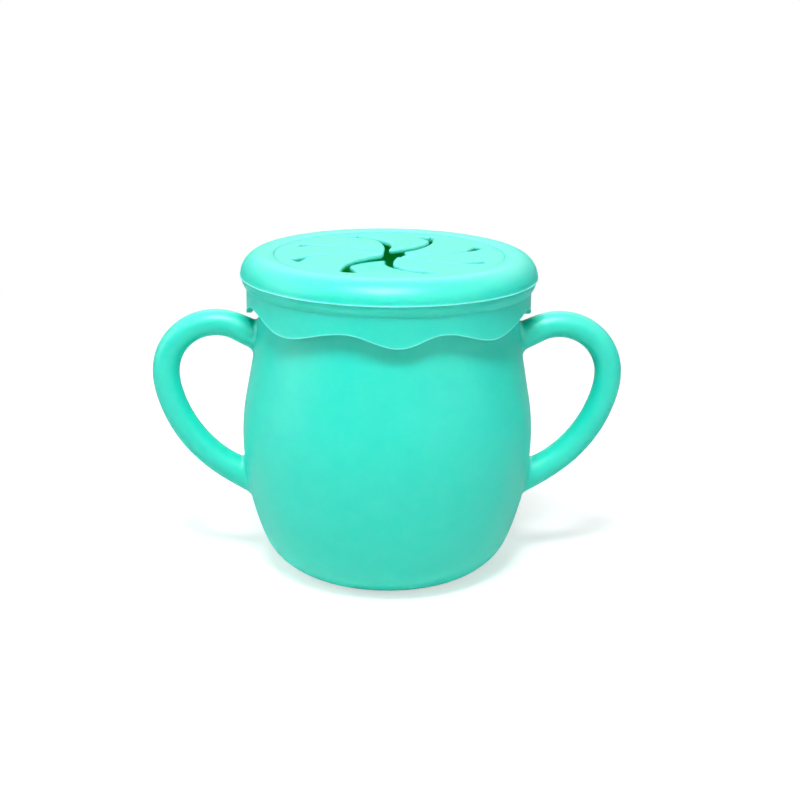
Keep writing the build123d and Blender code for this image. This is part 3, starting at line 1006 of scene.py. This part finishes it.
def silicone(name, look):
    """Moulded silicone: light that spreads inside, a painted highlight on the lid's and petals' marked
    edges, a painted glow on the bowl's inside, faint mottling and grain.
    """
    skin = bpy.data.materials.new(name)
    skin.use_nodes = True
    tree = skin.node_tree
    place = node(tree, "TexCoord", output="Object")
    clouds, grain = (180.0, 3.0, 0.55), (1.0 / look.grain_size, 2.0, 0.5)
    cloud, fine = (
        node(tree, "TexNoise", {
            "Vector": place, "Scale": scale, "Detail": detail, "Roughness": rough,
        }, "Fac")
        for scale, detail, rough in (clouds, grain)
    )
    cloud_part, grain_part = 0.7, 0.3
    mixed = maths(tree, "MULTIPLY_ADD", cloud, cloud_part, maths(tree, "MULTIPLY", fine, grain_part))
    span = (0.3, 0.7)  # of the mixed noise
    ramp = node(tree, "ValToRGB", {0: mixed})
    deep = [c * (1 - look.mottle) for c in look.colour]
    pale = [c + (1 - c) * look.mottle for c in look.colour]
    for stop, position, tone in zip(ramp.node.color_ramp.elements, span, (deep, pale)):
        stop.position = position
        stop.color = (*tone, 1)
    # Painted highlight on the marked edges, and a painted glow on the bowl's inside
    highlit, inside = (
        node(tree, "Attribute", output="Fac", attribute_name=layer)
        for layer in ("thin_edge", "inside")
    )
    tint = node(tree, "Mix", {"Factor": highlit, "A": ramp, "B": (*look.thin_colour, 1)}, 2,
                data_type="RGBA")
    gloss = node(tree, "MapRange", {
        "Value": mixed, "From Min": span[0], "From Max": span[1],
        "To Min": look.roughness - 0.03, "To Max": look.roughness + 0.03,
    })
    bump = node(tree, "Bump", {"Height": fine, "Strength": 0.1, "Distance": 0.0001})
    # The bowl's inside gets a painted glow as emission
    feed(tree.nodes["Principled BSDF"], {
        "Base Color": tint, "Roughness": gloss, "Normal": bump,
        "Emission Strength": inside, "Emission Color": (*look.glow_colour, 1),
        "IOR": 1.43, "Specular IOR Level": look.shine, "Subsurface Weight": look.spread,
        "Subsurface Radius": look.depth_colour, "Subsurface Scale": look.depth,
    })
    return skin


class TRAININGCUP_OT_stage(bpy.types.Operator):
    """Set the floor, the lamps, the surroundings and the camera"""

    bl_idname = "training_cup.stage"
    bl_label = "Studio Stage"

    # Place and width of each lamp
    lamps = {
        "front_lamp": ((-0.05, -0.42, 0.78), 0.24),
        "left_lamp": ((-1.0, -0.1, 0.4), 0.7),
        "right_lamp": ((0.9, -0.8, 0.28), 1.2),
        "low_lamp": ((-0.2, -1.3, 0.35), 0.8),
        "back_lamp": ((0.0, 0.6, 0.7), 0.6),
    }
    lamp_aim = Vector((0, 0, 0.05))
    floor_side = 6.0
    floor_lift = 0.55  # towards white, where the camera sees it
    fade_start = 0.09

    # Fit of the lid's ellipse and the bowl's outline in the photograph: degrees, then pixels
    pitch, roll, yaw = 16.546, 0.80, 2.0
    focal, across, down = 1531.69, 389.155, 272.713
    photo_side = 800
    distance = 0.450
    camera_aim = Vector((0, 0, 0.0902))
    sensor = 36.0

    def execute(self, context):
        studio = context.scene.training_cup.studio
        self.floor(studio)
        self.surroundings(context, studio)
        for name, (place, width) in self.lamps.items():
            light = bpy.data.lights.new(name, "AREA")
            light.size = width
            light.energy = getattr(studio, name.replace("lamp", "power"))
            lamp = add_object(name, light)
            lamp.location = place
            lamp.rotation_euler = (self.lamp_aim - Vector(place)).to_track_quat("-Z", "Y").to_euler()
        self.camera(context)
        context.scene.view_settings.view_transform = "Standard"
        return {"FINISHED"}

    def floor(self, studio):
        """Matt floor that turns into plain white away from the cup."""
        mesh = bpy.data.meshes.new("studio_floor")
        side = self.floor_side
        corners = [(x * side, y * side, 0) for x, y in ((-1, -1), (1, -1), (1, 1), (-1, 1))]
        mesh.from_pydata(corners, [], [(0, 1, 2, 3)])
        skin = bpy.data.materials.new("pale_floor")
        skin.use_nodes = True
        tree = skin.node_tree
        tree.nodes.remove(tree.nodes["Principled BSDF"])
        white = (1, 1, 1, 1)
        seen = node(tree, "LightPath", output="Is Camera Ray")
        matt = node(tree, "BsdfDiffuse", {"Color": (*studio.floor_colour, 1)})
        lift = node(tree, "Emission", {
            "Color": white, "Strength": maths(tree, "MULTIPLY", seen, self.floor_lift),
        })
        near = node(tree, "AddShader", {0: matt, 1: lift})
        place = node(tree, "TexCoord", output="Object")
        away = node(tree, "VectorMath", {0: place}, "Value", operation="LENGTH")
        far = node(tree, "MapRange", {
            "Value": away, "From Min": self.fade_start, "From Max": studio.floor_fade,
        }, interpolation_type="SMOOTHSTEP")
        fade = maths(tree, "MULTIPLY", far, seen)
        plain = node(tree, "Emission", {"Color": white, "Strength": 1.0})
        both = node(tree, "MixShader", {0: fade, 1: near, 2: plain})
        feed(tree.nodes["Material Output"], {"Surface": both})
        mesh.materials.append(skin)
        floor = add_object("studio_floor", mesh)

    @staticmethod
    def surroundings(context, studio):
        """White for the camera, and for reflections a ceiling brighter than the walls."""
        world = bpy.data.worlds.new("studio_surroundings")
        world.use_nodes = True
        context.scene.world = world
        tree = world.node_tree
        rays = node(tree, "LightPath").node.outputs
        toward = node(tree, "TexCoord", output="Generated")
        height = node(tree, "SeparateXYZ", {0: toward}, "Z")
        backdrop = node(tree, "MapRange", {
            "Value": height, "From Min": 0.15, "From Max": 0.7,
            "To Min": studio.side_glow, "To Max": studio.ceiling_glow,
        }, interpolation_type="SMOOTHSTEP")
        glossy = node(tree, "Mix", {
            "Factor": rays["Is Glossy Ray"], "A": studio.ambient, "B": backdrop,
        }, data_type="FLOAT")
        seen = maths(tree, "MAXIMUM", rays["Is Camera Ray"], rays["Is Transmission Ray"])
        strength = node(tree, "Mix", {
            "Factor": seen, "A": glossy, "B": 1.0,
        }, data_type="FLOAT")
        feed(tree.nodes["Background"], {"Color": (1, 1, 1, 1), "Strength": strength})

    def camera(self, context):
        """Camera at the photograph's angle."""
        pitch, roll, yaw = (radians(v) for v in (self.pitch, self.roll, self.yaw))
        sp, cp, sr, cr = sin(pitch), cos(pitch), sin(roll), cos(roll)
        right = Vector((cr, sr * sp, sr * cp))
        up = Vector((-sr, cr * sp, cr * cp))
        back = Vector((0, -cp, sp))
        middle = self.photo_side / 2
        shift = right * (self.across - middle) + up * (middle - self.down)
        place = self.camera_aim - shift / self.focal * self.distance + back * self.distance
        pose = Matrix((right, up, back)).transposed().to_4x4()
        pose.translation = place
        lens = bpy.data.cameras.new("photo_camera")
        lens.sensor_width = self.sensor
        lens.lens = self.focal / self.photo_side * self.sensor
        camera = add_object("photo_camera", lens)
        camera.matrix_world = Matrix.Rotation(-yaw, 4, "Z") @ pose
        context.scene.camera = camera


@labelled
class TrainingCup(bpy.types.PropertyGroup):
    """All that a user would change on the training cup"""

    bowl: bpy.props.PointerProperty(type=BowlSizes)
    lid: bpy.props.PointerProperty(type=LidSizes)
    petal: bpy.props.PointerProperty(type=PetalSizes)
    silicone: bpy.props.PointerProperty(type=SiliconeLook)
    studio: bpy.props.PointerProperty(type=StudioLook)


class TRAININGCUP_PT_sidebar(bpy.types.Panel):
    """The training cup's sizes and finishes, and the buttons that build it"""

    bl_label = "Training Cup"
    bl_idname = "TRAININGCUP_PT_sidebar"
    bl_space_type = "VIEW_3D"
    bl_region_type = "UI"
    bl_category = "Training Cup"

    def draw(self, context):
        cup = context.scene.training_cup
        buttons = {"bowl": "cup", "lid": "lid", "petal": "petals", "studio": "stage"}
        for group in TrainingCup.__annotations__:
            box = self.layout.box()
            for name in type(getattr(cup, group)).__annotations__:
                box.prop(getattr(cup, group), name)
            if group in buttons:
                box.operator("training_cup." + buttons[group])


CLASSES = (
    BowlSizes, LidSizes, PetalSizes, SiliconeLook, StudioLook, TrainingCup,
    TRAININGCUP_OT_cup, TRAININGCUP_OT_lid, TRAININGCUP_OT_petals, TRAININGCUP_OT_stage,
    TRAININGCUP_PT_sidebar,
)


def register():
    for made in CLASSES:
        bpy.utils.register_class(made)
    bpy.types.Scene.training_cup = bpy.props.PointerProperty(type=TrainingCup)


def unregister():
    del bpy.types.Scene.training_cup
    for made in reversed(CLASSES):
        bpy.utils.unregister_class(made)


def main():
    register()
    bpy.ops.training_cup.cup()
    bpy.ops.training_cup.lid()
    bpy.ops.training_cup.petals()
    bpy.ops.training_cup.stage()


if __name__ == "__main__":
    main()
